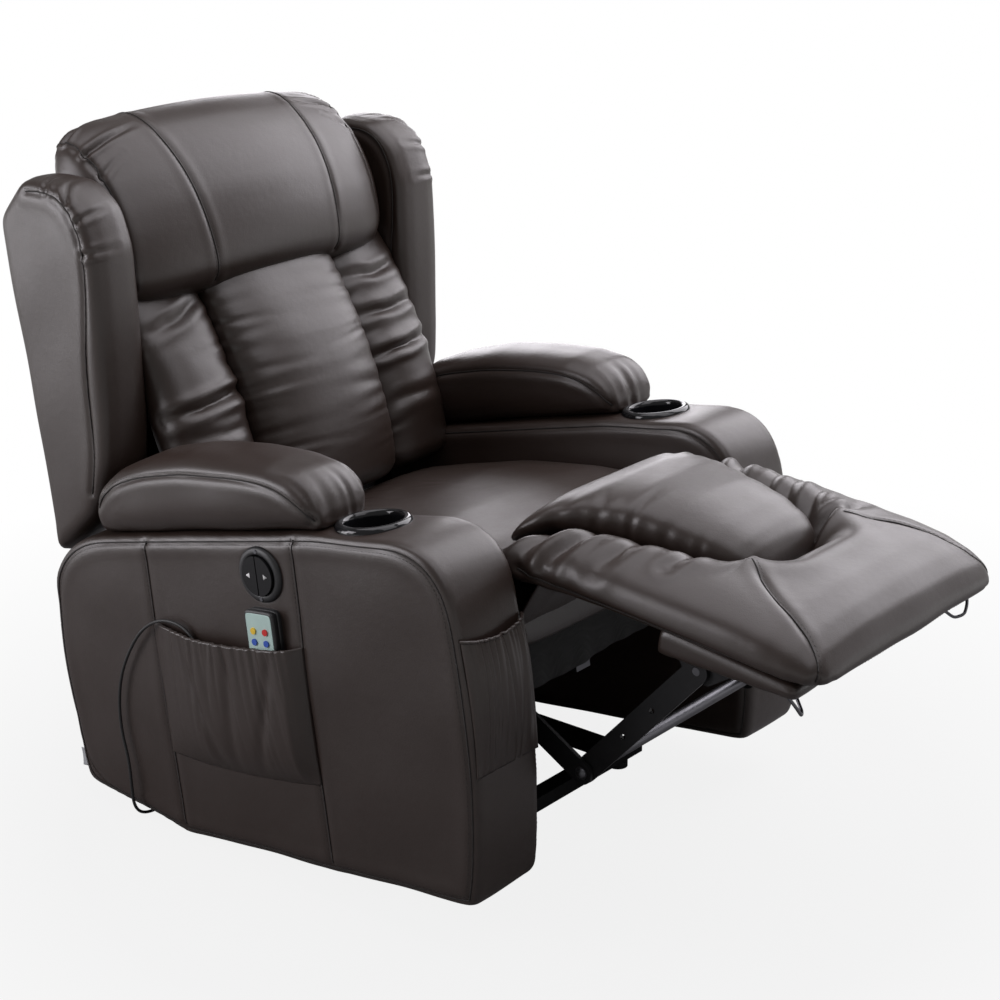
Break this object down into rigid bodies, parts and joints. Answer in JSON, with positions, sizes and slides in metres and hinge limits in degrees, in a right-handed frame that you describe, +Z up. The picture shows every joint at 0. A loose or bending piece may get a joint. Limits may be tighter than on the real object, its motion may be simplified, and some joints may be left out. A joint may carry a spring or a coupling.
{
  "type": "electric recliner",
  "caption": "Leather electric recliner armchair with winged back, padded arms, cup holders, pockets and a powered fold-out footrest.",
  "frame": {"origin": "on the floor under the middle of the opened chair", "axes": "+Z up, front of the chair towards -Y, the sitter's left towards +X"},
  "size_m": [0.8602, 1.3747, 1.0715],
  "materials": {
    "brown_leather": "semi-gloss dark brown leather with fine grain",
    "black_steel": "satin black paint",
    "bright_steel": "zinc plated",
    "frame_wood": "plain sawn",
    "seat_web": "woven elastic webbing",
    "gloss_black": "polished black moulding",
    "matte_black": "fine moulded texture",
    "handset_face": "printed film",
    "button_red": "soft key",
    "button_yellow": "soft key",
    "button_blue": "soft key",
    "cord_black": "flexible cable jacket"
  },
  "bodies": {
    "base": {"base_cross_bars": "black_steel", "base_rails": "black_steel", "glide_feet": "matte_black", "pivot_brackets": "black_steel", "tilt_pins": "bright_steel"},
    "backrest": {"back_board": "frame_wood", "back_hinge_plates": "black_steel", "back_rails": "frame_wood", "back_rear_panel": "brown_leather", "massage_motors": "matte_black", "lumbar_pad": "brown_leather", "bolster_R": "brown_leather", "bolster_L": "brown_leather", "head_cushion": "brown_leather", "wing_R": "brown_leather", "wing_L": "brown_leather"},
    "footrest": {"footrest_board": "brown_leather", "footrest_brackets": "black_steel", "footrest_pins": "bright_steel", "footrest_border": "brown_leather", "footrest_pad": "brown_leather"},
    "crank": {"cranks": "black_steel", "torque_tube": "bright_steel", "knee_tube": "bright_steel"},
    "push_link_pair": {"push_links": "black_steel"},
    "drive_ram": {"drive_rod": "bright_steel"},
    "key_forward": {"switch_key_forward": "gloss_black"},
    "key_back": {"switch_key_back": "gloss_black"},
    "button_red": {"handset_button_red": "button_red"},
    "button_yellow": {"handset_button_yellow": "button_yellow"},
    "button_blue_upper": {"handset_button_blue_upper": "button_blue"},
    "button_blue_lower": {"handset_button_blue_lower": "button_blue"},
    "seat_unit": {"seat_cushion": "brown_leather", "arm_R": "brown_leather", "arm_L": "brown_leather", "arm_pad_R": "brown_leather", "arm_pad_L": "brown_leather", "front_pocket_R": "brown_leather", "front_pocket_L": "brown_leather", "side_pocket": "brown_leather", "rear_skirt": "brown_leather", "seat_side_plates": "black_steel", "back_hinge_pins": "bright_steel", "switch_screws": "bright_steel", "seat_side_rails": "frame_wood", "seat_front_rail": "frame_wood", "seat_rear_rail": "frame_wood", "arm_frames": "frame_wood", "seat_webbing": "seat_web", "cup_holder_R": "gloss_black", "cup_holder_L": "gloss_black", "switch_housing": "gloss_black", "drive_motor": "matte_black", "drive_guide": "matte_black", "control_box": "matte_black", "power_inlet": "matte_black", "handset_rear_shell": "matte_black", "handset_front_shell": "matte_black", "handset_overlay": "handset_face", "handset_cord": "cord_black"}
  },
  "joints": [
    {"name": "footrest_fold", "type": "hinge", "parent": "seat_unit", "child": "footrest", "pos_m": [0, -0.24034, 0.58112], "axis": [1, 0, 0], "range_deg": [0, 80]},
    {"name": "body_tilt", "type": "hinge", "parent": "base", "child": "seat_unit", "pos_m": [0, 0.231, 0.11], "axis": [1, 0, 0], "range_deg": [0, 7.68]},
    {"name": "crank_turn", "type": "hinge", "parent": "seat_unit", "child": "crank", "pos_m": [0, -0.05439, 0.37345], "axis": [1, 0, 0], "range_deg": [0, 80.1]},
    {"name": "link_swing", "type": "hinge", "parent": "crank", "child": "push_link_pair", "pos_m": [0, -0.30344, 0.23243], "axis": [1, 0, 0], "range_deg": [-80.1, 0]},
    {"name": "ram_slide", "type": "slide", "parent": "seat_unit", "child": "drive_ram", "axis": [0, 0.9911, -0.1335], "range_m": [0, 0.1158]},
    {"name": "back_recline", "type": "hinge", "parent": "seat_unit", "child": "backrest", "pos_m": [0, 0.44743, 0.31596], "axis": [-1, 0, 0], "range_deg": [0, 40]},
    {"name": "press_key_forward", "type": "slide", "parent": "seat_unit", "child": "key_forward", "axis": [1, 0, 0], "range_m": [0, 0.002], "stiffness_N_per_m": 800},
    {"name": "press_key_back", "type": "slide", "parent": "seat_unit", "child": "key_back", "axis": [1, 0, 0], "range_m": [0, 0.002], "stiffness_N_per_m": 800},
    {"name": "press_button_red", "type": "slide", "parent": "seat_unit", "child": "button_red", "axis": [1, 0, 0], "range_m": [0, 0.001], "stiffness_N_per_m": 600},
    {"name": "press_button_yellow", "type": "slide", "parent": "seat_unit", "child": "button_yellow", "axis": [1, 0, 0], "range_m": [0, 0.001], "stiffness_N_per_m": 600},
    {"name": "press_button_blue_upper", "type": "slide", "parent": "seat_unit", "child": "button_blue_upper", "axis": [1, 0, 0], "range_m": [0, 0.001], "stiffness_N_per_m": 600},
    {"name": "press_button_blue_lower", "type": "slide", "parent": "seat_unit", "child": "button_blue_lower", "axis": [1, 0, 0], "range_m": [0, 0.001], "stiffness_N_per_m": 600}
  ],
  "couplings": [
    {"joint": "body_tilt", "follows": "footrest_fold", "ratio": 0.095875},
    {"joint": "crank_turn", "follows": "footrest_fold", "ratio": 1},
    {"joint": "link_swing", "follows": "footrest_fold", "ratio": -1},
    {"joint": "ram_slide", "follows": "footrest_fold", "m_per_rad": 0.082864}
  ]
}
